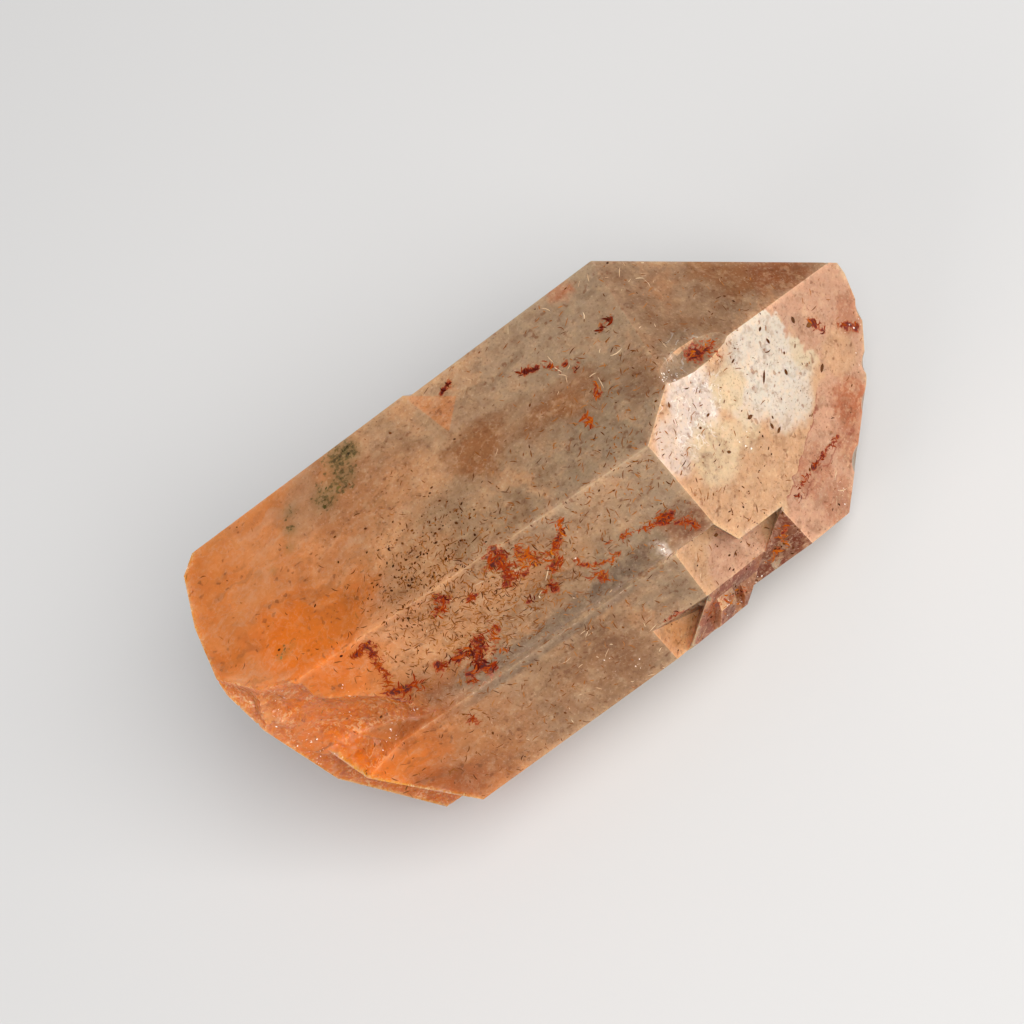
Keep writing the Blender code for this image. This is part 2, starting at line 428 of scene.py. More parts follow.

# Clouds and stains of the long faces and the root, and one painted highlight: pixel, size in
# millimetres, how many times longer than wide, kind, strength
STAINS = (
    (235, 575, 9.9, 1, PEACH, 0.60), (205, 592, 7.5, 1, AMBER, 0.70),
    (300, 640, 6.2, 2, TANGERINE, 0.85), (262, 668, 3.7, 2, TANGERINE, 0.55),
    (340, 600, 4.0, 2, AMBER, 0.70), (375, 555, 4.0, 2, PEACH, 0.55),
    (345, 490, 6.0, 1, BROWN, 0.45), (300, 510, 4.9, 1, TAN, 0.60),
    (400, 490, 4.7, 2, PEACH, 0.55), (478, 450, 4.9, 1, BROWN, 0.85),
    (426, 566, 4.6, 1, PEACH, 0.55), (455, 505, 2.7, 2, TAN, 0.60),
    (556, 408, 4.0, 2, BROWN, 0.80), (545, 340, 6.0, 2, SMOKE, 0.50),
    (570, 500, 4.2, 2, SMOKE, 0.70), (638, 372, 4.5, 1, BROWN, 0.45),
    (420, 640, 5.5, 2, PEACH, 0.85), (340, 684, 4.5, 2, TANGERINE, 0.60),
    (388, 700, 4.5, 1, AMBER, 0.80), (440, 692, 4.9, 1, HONEY, 0.45),
    (470, 598, 4.0, 2, TAN, 0.45), (540, 560, 4.7, 2, BROWN, 0.40), (600, 512, 4.0, 2, TAN, 0.60),
    (690, 521, 3.7, 1, HONEY, 0.70), (668, 492, 4.5, 1, SMOKE, 0.70),
    (420, 772, 7.3, 1, TANGERINE, 0.45), (452, 784, 5.2, 2, HONEY, 0.55),
    (500, 735, 7.3, 1, BROWN, 0.35), (490, 745, 4.5, 2, PEACH, 0.20),
    (570, 690, 8.4, 1, TAN, 0.55), (620, 640, 8.4, 1, BROWN, 0.30),
    (256, 700, 6.0, 1, PEACH, 0.60), (300, 745, 5.5, 1, AMBER, 0.70),
    (330, 728, 5.9, 1, TANGERINE, 0.75), (366, 768, 5.5, 1, TANGERINE, 0.95),
    (382, 727, 3.5, 1, CLEAR, 0.35), (414, 730, 3.0, 1, HONEY, 0.60),
    (690, 330, 6.0, 2, BROWN, 0.35), (775, 272, 4.7, 2, HONEY, 0.90),
    (722, 276, 4.9, 1, BROWN, 0.80), (650, 290, 5.0, 2, BROWN, 0.25),
    # The pearl-white spot at pixel 664, 552 is a painted highlight, a small white sparkle of light
    (664, 552, 1.5, 1, PEARL, 0.80), (545, 596, 4.0, 2, BROWN, 0.30),
    (470, 612, 4.6, 2, PEACH, 0.60), (512, 574, 3.4, 2, PEACH, 0.45),
    (592, 676, 6.0, 2, BROWN, 0.40),
)
for x, y, size, longer, kind, strength in STAINS:
    mask = stain(x, y, size, most=strength) if longer == 1 else long_stain(x, y, size, strength)
    look = covered(look, kind, mask)

# A clearer grey band runs along the lower half of the front face, with a ragged upper rim: partly
# clearer quartz and partly painted shade at the foot of the strip's step beside it
clear_band_and_shade = right_of(402, 712, 640, 548, soft=0.6, where=stirred)
clear_band_and_shade = clear_band_and_shade * (1.0 - right_of(430, 736, 716, 532, soft=0.3, where=here))
look = covered(look, CLEAR, clear_band_and_shade * stain(552, 624, 15, soft=0.5, most=0.8))

# An orange triangle and an iron-red rim near the top's left outline
triangle = right_of(403, 396, 457, 396, 0.10, here) * right_of(456, 396, 449, 432, 0.10, here)
triangle = triangle * right_of(449, 432, 400, 394, 0.10, here)
triangle = triangle * stain(438, 405, 4, soft=0.8, where=here)
look = covered(look, AMBER, triangle * 0.55)
look = covered(look, BRICK, stain(558, 292, 2.2, where=ragged, most=0.8))

# The upper tip face is painted a little browner than the long face beside it: painted shade, as
# this face lies in shade
look = covered(look, BROWN, face_mask(1.0, 51.5, spread=0.05) * 0.30)

# The front tip face: milky veils under it, their whiteness partly a painted sheen of light
# reflected by the face, yellow and peach where they thin out, and a clay-red third, bounded by
# a crack, towards the broken edge
front_tip = face_mask(59.0, 51.0) * stain(765, 420, 25, soft=0.85, where=here)
look = covered(look, APRICOT, front_tip)
# The white stains on the front tip face are the veils and a painted sheen together
TIP_STAINS = (
    (768, 348, 8.0, MILK, 0.95), (786, 392, 5.0, MILK, 0.85),
    (750, 396, 4.1, MILK, 0.70), (694, 400, 4.8, PEARL, 0.95),
    (676, 446, 3.9, PEARL, 0.75), (716, 452, 4.5, CREAM, 0.75),
    (728, 388, 3.1, CREAM, 0.85), (806, 345, 3.2, CREAM, 0.70),
    (745, 430, 2.3, CREAM, 0.60),
)
for x, y, size, kind, strength in TIP_STAINS:
    mask = stain(x, y, size, soft=0.60, where=ragged, most=strength)
    look = covered(look, kind, front_tip * mask)
red_third = right_of(789, 503, 826, 364).highest(right_of(834, 376, 764, 306)) * front_tip
look = covered(look, CLAY, red_third * 0.95)
RED_STAINS = (
    (838, 352, 3.5, APRICOT, 0.80), (850, 402, 3.5, BRICK, 0.90),
    (852, 440, 3.5, BRICK, 0.60), (812, 470, 3.6, BRICK, 0.55),
    (850, 312, 3.2, BRICK, 0.50), (842, 505, 3.8, BRICK, 0.45),
)
for x, y, size, kind, strength in RED_STAINS:
    mask = stain(x, y, size, soft=0.55, where=ragged, most=strength)
    look = covered(look, kind, red_third * mask)
colour, milk = look
colour = start.layer(colour, paint(150, 52, 30), thread(790, 500, 819, 392, wide=0.13) * 0.7)
colour = start.layer(colour, paint(150, 60, 30), thread(799, 500, 855, 426, wide=0.22) * 0.6)
look = colour, milk

# The steps below the tip, and the shell-shaped chip at the meeting of the tip faces
look = covered(look, CLAY, stain(738, 556, 5, soft=0.8, where=here, most=0.9))
# Steep face of the steps: dark resin-brown, partly its rusty colour and partly painted shade
look = covered(look, RESIN, face_mask(90.0, 65.6) * 0.9)
look = covered(look, AMBER, face_mask(90.0, 65.6) * mottle.rise(0.54, 0.62, 0.55))
# Below the steps, faces not turned like the front tip face: darker, partly painted shade
under_steps = stain(738, 606, 6, soft=0.8, where=here) * (1.0 - face_mask(59.0, 51.0))
look = covered(look, RESIN, under_steps * 0.7)
look = covered(look, HONEY, stain(742, 600, 3.6, soft=0.8, where=here, most=0.75))
# The notch's inner face is dark copper-brown: partly rust and partly painted shade in the notch
in_notch = face_mask(62.5, 96.0, spread=0.002) * stain(787, 546, 6, soft=0.8, where=here)
look = covered(look, COPPER, in_notch)
on_nick = face_mask(59.0, 51.0) * stain(674, 634, 5.5, soft=0.9, where=here)
look = covered(look, PEACH, on_nick * 0.95)
chip_place = seen(704, 366)[0]
ringed = start.vector("DISTANCE", ragged, tuple(chip_place), 1)
shell_rings = (ringed * (2 * math.pi / (1.05 * MM))).sine()
on_chip = stain(690, 360, 4.2, soft=0.7, where=here)
look = covered(look, SMOKE, on_chip * (1.0 - front_tip) * 0.5)
colour, milk = look
ring_lines = shell_rings.rise(0.80, 0.98) * on_chip * mottle.rise(0.40, 0.60)
colour = start.layer(colour, paint(238, 226, 212), ring_lines * 0.60)

# White folds in the veils, cracks round the root, and speckle all over
fold = start.noise(stirred, 3.2 * MM, detail=3.0, rough=0.6)
fold_line = (fold - 0.5).absolute().rise(0.022, 0.004)
veiled = front_tip * stain(690, 405, 6.5, soft=0.5, where=here)
colour = start.layer(colour, paint(246, 238, 228), fold_line * veiled * 0.60)
colour = start.layer(colour, paint(148, 58, 8), fold_line * root_break * 0.50)
pale_line = (fold - 0.57).absolute().rise(0.020, 0.004)
colour = start.layer(colour, paint(255, 222, 172), pale_line * root_break * 0.75)
colour = start.layer(colour, paint(208, 176, 146), fold_line * (1.0 - veiled) * 0.16)
colour = start.layer(colour, paint(120, 84, 54), streaks.rise(0.56, 0.72) * 0.26)
colour = start.layer(colour, paint(212, 178, 144), streaks.rise(0.45, 0.30) * 0.20)
dots = start.noise(here, 0.55 * MM, detail=0.0)
dotted = dots.rise(0.66, 0.76, 0.6) * streaks.rise(0.46, 0.60)
colour = start.layer(colour, paint(132, 70, 26), dotted)
speckled = 0.35 + along.rise(-30 * MM, -12 * MM, 0.65)
colour = start.layer(colour, paint(138, 86, 46), mottle.rise(0.52, 0.68, 0.30) * speckled)
colour = start.layer(colour, paint(238, 198, 154), mottle.rise(0.48, 0.32, 0.26) * speckled)
colour = start.layer(colour, paint(108, 58, 22), grain.rise(0.56, 0.72, 0.48) * speckled)
colour = start.layer(colour, paint(240, 208, 172), grain.rise(0.44, 0.28, 0.32) * speckled)
colour = start.layer(colour, paint(220, 110, 4), root_break * 0.50)
colour = start.layer(colour, paint(184, 78, 8), root_break * mottle.rise(0.54, 0.66, 0.35))
colour = start.layer(colour, paint(240, 200, 160), root_break * mottle.rise(0.42, 0.30) * 0.20)

crust = start.noise(here, 0.55 * MM, detail=3.0, rough=0.74)
# Pale flecks in the broken root are painted highlights on its glassy grit
colour = start.layer(colour, paint(252, 208, 150), root_break * crust.rise(0.43, 0.32, 0.45))
colour = start.layer(colour, paint(150, 60, 8), root_break * crust.rise(0.60, 0.72, 0.38))

# Iron oxide: a ragged orange-brown crust that darkens inwards. Moss: a green-brown haze with
# denser tufts
rust_level = rust + (crust - 0.5) * 2.4 + (mottle - 0.5) * 2.0
on_rust = rust.rise(0.03, 0.14)
crusted = rust_level.rise(0.56, 0.62) * on_rust
colour = start.layer(colour, paint(176, 96, 20), rust_level.rise(0.34, 0.50) * on_rust * 0.35)
colour = start.layer(colour, paint(158, 60, 0), crusted * 0.9)
colour = start.layer(colour, paint(118, 27, 0), rust_level.rise(0.68, 0.80) * on_rust)
colour = start.layer(colour, paint(66, 5, 0), rust_level.rise(0.90, 1.10) * on_rust * 0.9)
moss_level = moss_haze + (crust - 0.5) * 2.4 + (mottle - 0.5) * 1.4
on_moss = moss_haze.rise(0.03, 0.14)
colour = start.layer(colour, paint(132, 112, 66), moss_haze.rise(0.0, 0.7, 0.55))
colour = start.layer(colour, paint(100, 84, 34), moss_level.rise(0.50, 0.72) * on_moss * 0.75)
colour = start.layer(colour, paint(58, 50, 20), moss_level.rise(0.78, 1.0) * on_moss * 0.8)

# Worn edges are paler: partly wear and partly a painted highlight along the edges
colour = start.layer(colour, paint(238, 214, 188), edge_wear_and_highlight * mottle.rise(0.42, 0.62) * 0.16)

# Relief: a faint waviness on all faces, and grit in the broken root
relief = mottle * (0.014 + root_break * 0.34)
bump = start.node("Bump", {}, {"Strength": 1.0, "Distance": MM, "Height": relief})

# Clear quartz and milky quartz, mixed by how milky each place is
tree = quartz.node_tree
tint = start.layer(colour, paint(*PALE_TINT), TINT_SHARE)
tree.links.new(tint.link, clear_shader.inputs["Base Color"])
clear_shader.inputs["IOR"].default_value = QUARTZ_INDEX
clear_shader.inputs["Transmission Weight"].default_value = 1.0
tree.links.new((0.10 + mottle * 0.12 + edge_wear_and_highlight * 0.10).link, clear_shader.inputs["Roughness"])
tree.links.new(bump.link, clear_shader.inputs["Normal"])
clear_quartz = Wire(tree, clear_shader.outputs[0])
milky_quartz = start.node("BsdfPrincipled", {}, {
    "Base Color": colour,
    "Roughness": 0.26 + mottle * 0.18 - root_break * 0.08,
    "IOR": QUARTZ_INDEX,
    "Specular IOR Level": 0.3,
    "Normal": bump,
    "Subsurface Weight": 0.6,
    "Subsurface Radius": (1.0, 0.55, 0.30),
    "Subsurface Scale": 3.0 * MM,
})
# Worn edges are also milkier, which pales them: partly wear and partly painted highlight
milk = milk + (cloud - 0.5) * 0.5 + edge_wear_and_highlight * 0.2 + crusted * 0.4
mixed = start.node("MixShader", {}, {0: milk, 1: clear_quartz, 2: milky_quartz})
surface = tree.nodes["Material Output"]
tree.links.new(mixed.link, surface.inputs["Surface"])
crystal.data.materials.clear()
crystal.data.materials.append(quartz)
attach(crystal, "root")
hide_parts("quartz_point")


# The rust
# Red iron oxide that crept into hair cracks: ragged, branching crusts along the front, drawn on
# the crystal round the lines below, and thin flakes a fraction of a millimetre long about them.

# A leaf has its rim's corners 0 to 7, from one point round to it again, and a ridge of three
# corners on each side: 8 to 10 on top and 11 to 13 below
FLAKE_STEPS = np.array((-1.0, -0.5, 0.0, 0.5, 1.0))
FLAKE_TOP = (
    (0, 1, 8), (0, 8, 7), (1, 2, 9, 8), (8, 9, 6, 7),
    (2, 3, 10, 9), (9, 10, 5, 6), (3, 4, 10), (10, 4, 5),
)
FLAKE_UNDER = (
    (0, 11, 1), (0, 7, 11), (1, 11, 12, 2), (11, 7, 6, 12),
    (2, 12, 13, 3), (12, 6, 5, 13), (3, 13, 4), (13, 5, 4),
)


def make_flakes(
    name, spots, facing, headings, lengths, widths, bends, tones, proud=0.018, sunk=0.0
):
    """Closed flakes that lie on the crystal or in it, all in one mesh.

    Each is a leaf: its middle line runs from -1 to 1 in t, pushed sideways by bend times one
    less t squared, its half width is one less t to the power 2.4, and a ridge along the
    middle stands proud of the leaf by proud millimetres and as deep below it. sunk is how
    deep it lies. Leaves whose ends would stand clear of the crystal are left out.
    Leaves that would reach past the CAD model's box are left out too, with those on the face
    that it lies on. All sizes are in millimetres, and tones are one number each, 0 to 1."""
    heading = headings - facing * (headings * facing).sum(1)[:, None]
    heading /= np.linalg.norm(heading, axis=1)[:, None]
    reach = heading * (lengths * MM / 2)[:, None]
    ends = np.concatenate((spots + reach, spots - reach)).tolist()
    clear = np.array([crystal_skin.find_nearest(end)[3] for end in ends]).reshape(2, -1).max(0)
    kept = clear < 0.03 * MM
    spots, facing, heading, tones = spots[kept], facing[kept], heading[kept], tones[kept]
    lengths, widths, bends = lengths[kept], widths[kept], bends[kept]
    count = len(spots)
    spots = spots - facing * (np.broadcast_to(sunk, kept.shape)[kept] * MM)[:, None]
    aside = np.cross(facing, heading)
    t = FLAKE_STEPS
    wide = 1.0 - np.abs(t) ** 2.4
    middle = bends[:, None] * (1.0 - t ** 2)[None, :]
    left = middle + wide[None, :] * widths[:, None] / 2
    right = middle - wide[None, :] * widths[:, None] / 2
    run = t[None, :] * lengths[:, None] / 2
    rim_x = np.concatenate((run, run[:, 3:0:-1]), 1)
    rim_y = np.concatenate((left, right[:, 3:0:-1]), 1)
    rim_z = np.full_like(rim_x, 0.3 * proud)
    ridge_x = np.concatenate((run[:, 1:4], run[:, 1:4]), 1)
    ridge_y = np.concatenate((middle[:, 1:4], middle[:, 1:4]), 1)
    ridge_z = np.concatenate((np.full((count, 3), proud), np.full((count, 3), -proud)), 1)
    x = np.concatenate((rim_x, ridge_x), 1) * MM
    y = np.concatenate((rim_y, ridge_y), 1) * MM
    z = np.concatenate((rim_z, ridge_z), 1) * MM
    corners = (
        spots[:, None, :] + heading[:, None, :] * x[..., None]
        + aside[:, None, :] * y[..., None] + facing[:, None, :] * z[..., None]
    )
    inside = ((corners >= cad_box[0]) & (corners <= cad_box[1])).all((1, 2))
    corners, tones = corners[inside], tones[inside]
    count, each = corners.shape[:2]
    shift = np.arange(count) * each
    faces = [
        tuple(row) for face in FLAKE_TOP + FLAKE_UNDER
        for row in (np.array(face[::-1])[None, :] + shift[:, None]).tolist()
    ]
    data = bpy.data.meshes.new(name)
    data.from_pydata(corners.reshape(-1, 3).tolist(), [], faces)
    tone = np.repeat(tones, each).astype(np.float32)
    data.attributes.new("tone", "FLOAT", "POINT").data.foreach_set("value", tone)
    piece = bpy.data.objects.new(name, data)
    bpy.context.scene.collection.objects.link(piece)
    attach(piece, "root")
    return piece


def flake_finish(name, colours, rough):
    """A finish whose colour runs through the given ones with each flake's tone."""
    made, made_shader, first = new_finish(name)
    tone = first.node("Attribute", {"attribute_name": "tone"}, {}, "Fac")
    shade = paint(*colours[0])
    for number, shown in enumerate(colours[1:]):
        low = number / (len(colours) - 1)
        shade = first.layer(shade, paint(*shown), tone.rise(low, low + 1 / (len(colours) - 1)))
    dusty = first.noise(first.node("TexCoord", {}, {}, "Object"), 0.3 * MM, detail=2.0)
    pale = paint(*[min(255, part + 50) for part in colours[-1]])
    shade = first.layer(shade, pale, dusty.rise(0.5, 0.8, 0.14))
    made.node_tree.links.new(shade.link, made_shader.inputs["Base Color"])
    made_shader.inputs["Roughness"].default_value = rough
    made_shader.inputs["Specular IOR Level"].default_value = 0.1
    return made


def on_crystal(pixels):
    """The places on the crystal, and the ways it faces there, at an array of pixels."""
    found = [seen(x, y) for x, y in pixels.tolist()]
    met = np.array([place is not None for place, facing in found])
    found_places = np.array([tuple(place) for place, facing in found if place is not None])
    found_facing = np.array([tuple(facing) for place, facing in found if place is not None])
    return met, found_places, found_facing


def nearness(centres, radii, peaks):
    """For each corner of the crystal's mesh, the highest over the centres of their peak times
    one less the distance to them in radii, and never below zero."""
    near = np.zeros(len(places))
    for centre, radius, peak in zip(centres, radii, peaks):
        far = np.linalg.norm(places - centre, axis=1) / (radius * MM)
        np.maximum(near, peak * (1.0 - far), out=near)
    return near.astype(np.float32)


# Arms of rust: the pixels that they follow, the crust's half width in millimetres, how far the
# flakes spread in pixels, how many flakes, the largest in millimetres, tone (0 dark, 1 orange)
RUST_ARMS = (
    (((493, 550), (500, 560), (508, 568)), 1.15, 5.0, 40, 1.2, 0.35),
    (((508, 568), (512, 576), (504, 585)), 0.80, 4.0, 26, 1.1, 0.30),
    (((490, 558), (491, 570)), 0.45, 2.0, 10, 0.9, 0.45),
    (((512, 574), (522, 573), (529, 570)), 0.45, 2.6, 18, 0.9, 0.45),
    (((515, 546), (519, 553), (535, 556), (557, 554)), 0.32, 2.4, 40, 1.1, 0.60),
    (((520, 560), (530, 566), (540, 562)), 0.26, 3.0, 26, 0.9, 0.65),
    (((556, 521), (562, 530), (557, 545), (548, 556)), 0.34, 2.6, 34, 1.1, 0.55),
    (((560, 560), (552, 570)), 0.60, 2.0, 12, 0.9, 0.50),
    (((551, 582), (556, 590)), 0.62, 3.0, 18, 0.9, 0.25),
    (((543, 592), (548, 590)), 0.30, 2.0, 8, 0.7, 0.40),
    (((527, 602), (533, 599)), 0.34, 1.6, 8, 0.8, 0.10),
    (((434, 597), (444, 599), (443, 608), (436, 616)), 0.62, 3.4, 34, 0.9, 0.40),
    (((468, 597), (476, 596)), 0.42, 2.4, 14, 0.8, 0.55),
    (((477, 640), (482, 648), (478, 660), (474, 655)), 1.25, 5.0, 46, 1.2, 0.15),
    (((474, 655), (462, 654), (453, 660)), 0.62, 3.4, 26, 1.0, 0.35),
    (((447, 664), (436, 668)), 0.62, 3.0, 22, 0.9, 0.35),
    (((480, 662), (490, 670), (494, 664)), 0.85, 4.0, 30, 1.1, 0.30),
    (((470, 674), (476, 682)), 0.55, 3.0, 16, 0.9, 0.40),
    (((490, 640), (497, 630), (492, 624)), 0.42, 2.8, 22, 0.9, 0.50),
    (((500, 650), (508, 648)), 0.28, 2.0, 10, 0.8, 0.55),
    (((350, 657), (360, 652), (368, 646)), 0.42, 3.0, 24, 0.9, 0.50),
    (((366, 643), (372, 654), (380, 666)), 0.50, 3.4, 30, 0.9, 0.45),
    (((380, 666), (388, 678), (386, 690)), 0.38, 2.6, 26, 0.9, 0.50),
    (((386, 693), (399, 691), (412, 688), (421, 681)), 0.50, 3.6, 40, 1.0, 0.45),
    (((395, 699), (410, 703)), 0.34, 3.4, 20, 0.8, 0.50),
    (((655, 523), (664, 518), (673, 514)), 0.55, 3.4, 30, 0.9, 0.40),
    (((686, 523), (697, 524)), 0.50, 2.8, 18, 0.8, 0.50),
    (((690, 515), (684, 520), (676, 524)), 0.26, 2.0, 12, 0.7, 0.55),
    (((655, 523), (640, 530), (622, 537), (606, 545)), 0.24, 2.0, 30, 0.8, 0.60),
    (((575, 560), (590, 566), (606, 562), (620, 552)), 0.26, 2.2, 26, 0.8, 0.60),
    (((600, 573), (606, 582)), 0.42, 2.4, 14, 0.8, 0.45),
    (((590, 577), (604, 571)), 0.24, 1.8, 12, 0.8, 0.60),
    (((466, 723), (473, 718), (479, 723)), 0.36, 2.4, 16, 0.8, 0.45),
    (((519, 372), (528, 371), (536, 369)), 0.48, 2.0, 14, 0.9, 0.05),
    (((540, 368), (550, 366), (560, 369), (566, 362)), 0.30, 1.8, 12, 0.8, 0.30),
    (((574, 372), (578, 361)), 0.30, 1.0, 6, 0.8, 0.05),
    (((598, 331), (605, 324), (612, 317)), 0.34, 0.8, 6, 1.2, 0.0),
    (((441, 393), (446, 387), (450, 381)), 0.34, 1.0, 6, 1.0, 0.0),
    (((596, 385), (599, 397)), 0.24, 1.6, 10, 1.0, 0.65),
    (((584, 415), (591, 428)), 0.26, 1.8, 14, 1.0, 0.60),
    (((690, 357), (702, 351), (714, 348)), 1.00, 4.5, 40, 0.9, 0.70),
    (((840, 434), (822, 455), (812, 470), (803, 483), (797, 500)), 0.30, 2.2, 60, 0.8, 0.25),
    (((808, 318), (815, 324), (822, 330)), 0.50, 3.0, 16, 0.8, 0.30),
    (((840, 326), (850, 324), (858, 328)), 0.55, 2.4, 14, 0.8, 0.45),
    (((664, 622), (678, 614), (690, 609)), 0.30, 2.0, 24, 0.8, 0.20),
    (((704, 612), (728, 600), (748, 588)), 0.30, 4.0, 34, 0.9, 0.85),
    (((772, 560), (782, 545), (786, 524)), 0.26, 3.4, 26, 0.9, 0.75),
)
rng = np.random.default_rng(11)
spots, flake_lengths, flake_tones, crust_spots, crust_radii = [], [], [], [], []
for arm, crust_half, spread, count, largest, tone in RUST_ARMS:
    arm = np.array(arm, float)
    steps = np.linalg.norm(np.diff(arm, axis=0), axis=1)
    marks = np.concatenate(((0.0,), np.cumsum(steps)))
    every = np.linspace(0.0, marks[-1], int(marks[-1] / 2.5) + 2)
    crust_spots.append(np.stack([np.interp(every, marks, arm[:, axis]) for axis in (0, 1)], 1))
    thick = 0.75 + 0.45 * rng.random(len(every))
    crust_radii.append(crust_half * 1.9 * thick * (0.6 + 0.4 * np.sin(np.pi * every / marks[-1])))
    at = rng.uniform(0.0, marks[-1], count)
    centre = np.stack([np.interp(at, marks, arm[:, axis]) for axis in (0, 1)], 1)
    spots.append(centre + rng.normal(0.0, 1.0, (count, 2)) * spread)
    flake_lengths.append(1.25 * largest * rng.uniform(0.35, 1.0, count) ** 1.3)
    flake_tones.append(np.clip(tone + rng.normal(0.0, 0.16, count), 0.0, 1.0))
met, crust_places, crust_facing = on_crystal(np.concatenate(crust_spots))
mesh.attributes.new("rust", "FLOAT", "POINT").data.foreach_set(
    "value", nearness(crust_places, np.concatenate(crust_radii)[met], np.ones(len(crust_places)))
)
flake_lengths, flake_tones = np.concatenate(flake_lengths), np.concatenate(flake_tones)
met, rust_places, rust_facing = on_crystal(np.concatenate(spots))
flake_lengths, flake_tones = flake_lengths[met], flake_tones[met]
count = len(rust_places)
flakes = make_flakes(
    "rust_flakes", rust_places, rust_facing, rng.normal(0.0, 1.0, (count, 3)), flake_lengths,
    flake_lengths * rng.uniform(0.08, 0.26, count), flake_lengths * rng.uniform(-0.30, 0.30, count),
    flake_tones,
)
flakes.data.materials.append(
    flake_finish("rust", ((72, 10, 0), (128, 34, 0), (158, 66, 2), (178, 98, 14)), 0.7)
)


# The needles
# Hair-thin brown needles, straight or hooked, lie everywhere in and just under the faces,
# thickest in the peach-coloured part of the front. The deeper ones look fainter.


def scatter(count, seed, weigh):
    """Places spread at random over the crystal's cells, with the ways they face. weigh takes
    the middles of the cells and returns how thickly each is strewn."""
    strewn = np.random.default_rng(seed)
    middles = np.empty(len(mesh.polygons) * 3, np.float32)
    mesh.polygons.foreach_get("center", middles)
    facings = np.empty(len(mesh.polygons) * 3, np.float32)
    mesh.polygons.foreach_get("normal", facings)
    areas = np.empty(len(mesh.polygons), np.float32)
    mesh.polygons.foreach_get("area", areas)
    middles, facings = middles.reshape(-1, 3).astype(float), facings.reshape(-1, 3).astype(float)
    share = areas * weigh(middles)
    chosen = strewn.choice(len(share), count, p=share / share.sum())
    jitter = strewn.uniform(-0.16, 0.16, (count, 3)) * MM
    jitter -= facings[chosen] * (jitter * facings[chosen]).sum(1)[:, None]
    return middles[chosen] + jitter, facings[chosen], strewn


def thick_round(middles, thin, patches):
    """How thickly to strew: thin everywhere, and more round the places seen at some pixels,
    by much there, falling off as a bell over reach millimetres."""
    thick = thin * np.ones(len(middles))
    for x, y, reach, much in patches:
        far = np.linalg.norm(middles - np.array(tuple(seen(x, y)[0])), axis=1) / (reach * MM)
        thick += much * np.exp(-far ** 2)
    return thick


def needle_thickness(middles):
    """Thick along the front's peach part, in patches of the top, and thin elsewhere."""
    patches = (
        (440, 625, 7, 9.0), (475, 600, 6, 6.0), (520, 590, 7, 5.0), (530, 560, 6, 4.0),
        (600, 560, 7, 3.0), (500, 720, 9, 1.2), (560, 680, 9, 0.8), (420, 760, 6, 1.2),
        (560, 330, 8, 0.8), (620, 440, 6, 2.2), (590, 400, 5, 1.0), (640, 480, 6, 2.0),
        (720, 500, 6, 0.6), (700, 300, 8, 0.8), (640, 380, 5, 1.5),
    )
    return thick_round(middles, 0.14, patches)


needle_places, needle_facing, strewn = scatter(4300, 21, needle_thickness)
count = len(needle_places)
needle_lengths = 0.30 + 0.90 * strewn.random(count) ** 1.8
needles = make_flakes(
    "brown_needles", needle_places, needle_facing, strewn.normal(0.0, 1.0, (count, 3)),
    needle_lengths, strewn.uniform(0.07, 0.15, count),
    needle_lengths * strewn.normal(0.0, 0.10, count),
    strewn.uniform(0.0, 1.0, count), proud=0.014,
    sunk=0.5 * np.clip(strewn.random(count) - 0.7, 0.0, 1.0),
)
needles.data.materials.append(
    flake_finish("needle_brown", ((74, 36, 8), (112, 60, 16), (138, 80, 28), (160, 102, 50)), 0.6)
)


# The pale needles
# Longer, cream-coloured hairs catch the light like scratches.


def pale_thickness(middles):
    """Only in a few patches of the strip, the top and the upper tip face."""
    patches = (
        (600, 658, 6, 5.0), (640, 290, 5, 4.0), (560, 330, 8, 3.0), (600, 360, 6, 2.0),
        (520, 590, 5, 2.0), (850, 490, 3, 4.0), (690, 330, 6, 1.0), (480, 585, 5, 1.5),
    )
    return thick_round(middles, 0.05, patches)


pale_places, pale_facing, strewn = scatter(420, 31, pale_thickness)
count = len(pale_places)
pale_lengths = 0.4 + 1.3 * strewn.random(count) ** 2.0
pale = make_flakes(
    "pale_needles", pale_places, pale_facing, strewn.normal(0.0, 1.0, (count, 3)), pale_lengths,
    strewn.uniform(0.06, 0.12, count), pale_lengths * strewn.normal(0.0, 0.07, count),
    strewn.uniform(0.0, 1.0, count), proud=0.014, sunk=0.2 * strewn.random(count) ** 2.0,
)
pale.data.materials.append(flake_finish("needle_cream", ((190, 156, 120), (222, 196, 160)), 0.35))


# The glints
# Tiny white flakes along the edges and the broken root: painted highlights that stand for glints of
# light on small chips.

GLINTS = (
    (663, 550, 2.2, 9), (845, 490, 5.0, 8), (672, 380, 5.0, 16), (700, 392, 9.0, 12),
    (664, 378, 3.0, 10), (277, 693, 4.0, 8), (272, 716, 7.0, 10), (309, 742, 6.0, 10),
    (330, 752, 5.0, 8), (385, 740, 6.0, 7), (398, 733, 4.0, 4), (350, 700, 8.0, 8),
    (316, 760, 4.0, 6), (416, 712, 4.0, 6), (596, 658, 8.0, 4), (855, 325, 5.0, 8),
    (862, 360, 5.0, 8), (735, 600, 8.0, 22), (760, 580, 5.0, 10), (640, 665, 4.0, 4),
    (745, 440, 8.0, 8), (575, 555, 8.0, 3),
)
rng = np.random.default_rng(23)
glint_spots = np.concatenate([
    np.array((x, y)) + rng.normal(0.0, 1.0, (count, 2)) * spread for x, y, spread, count in GLINTS
])
met, glint_places, glint_facing = on_crystal(glint_spots)
count = len(glint_places)
glint_lengths = 0.08 + 0.24 * rng.random(count) ** 2.0
glints = make_flakes(
    "white_glints", glint_places, glint_facing, rng.normal(0.0, 1.0, (count, 3)), glint_lengths,
    glint_lengths * rng.uniform(0.3, 0.8, count), np.zeros(count), rng.uniform(0.0, 1.0, count),
)
